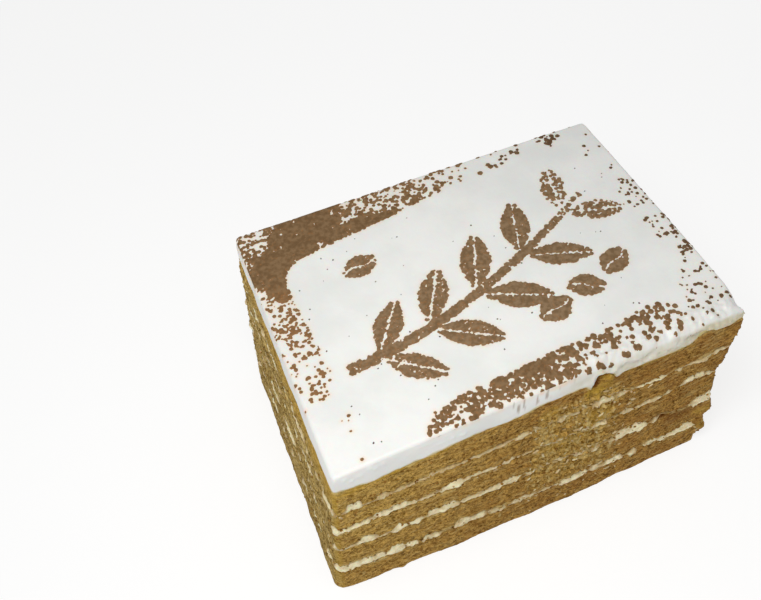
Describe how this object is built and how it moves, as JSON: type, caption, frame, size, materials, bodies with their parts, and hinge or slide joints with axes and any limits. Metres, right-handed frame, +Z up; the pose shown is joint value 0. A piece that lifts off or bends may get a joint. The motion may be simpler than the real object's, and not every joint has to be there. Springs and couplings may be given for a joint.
{
  "type": "tiramisu slice",
  "caption": "Rectangular layered tiramisu slice: golden sponge and thin cream in turn under a thick white icing, with a stencilled cocoa sprig and dusted edges.",
  "frame": {"origin": "middle of the footprint, on the surface the slice stands on", "axes": "+X along the long side, +Y from the long cut face that shows to the back, +Z up"},
  "size_m": [0.1045, 0.075, 0.0573],
  "materials": {
    "sponge": "matt, porous sponge crumb with cut and torn grain",
    "cream": "soft cream with crumbs dragged into it",
    "icing": "smooth white whipped icing, satin, dusted with matt cocoa"
  },
  "bodies": {
    "root": {"sponge_1": "sponge", "cream_1": "cream", "sponge_2": "sponge", "cream_2": "cream", "sponge_3": "sponge", "cream_3": "cream", "sponge_4": "sponge", "cream_4": "cream", "sponge_5": "sponge", "icing": "icing"}
  },
  "joints": []
}
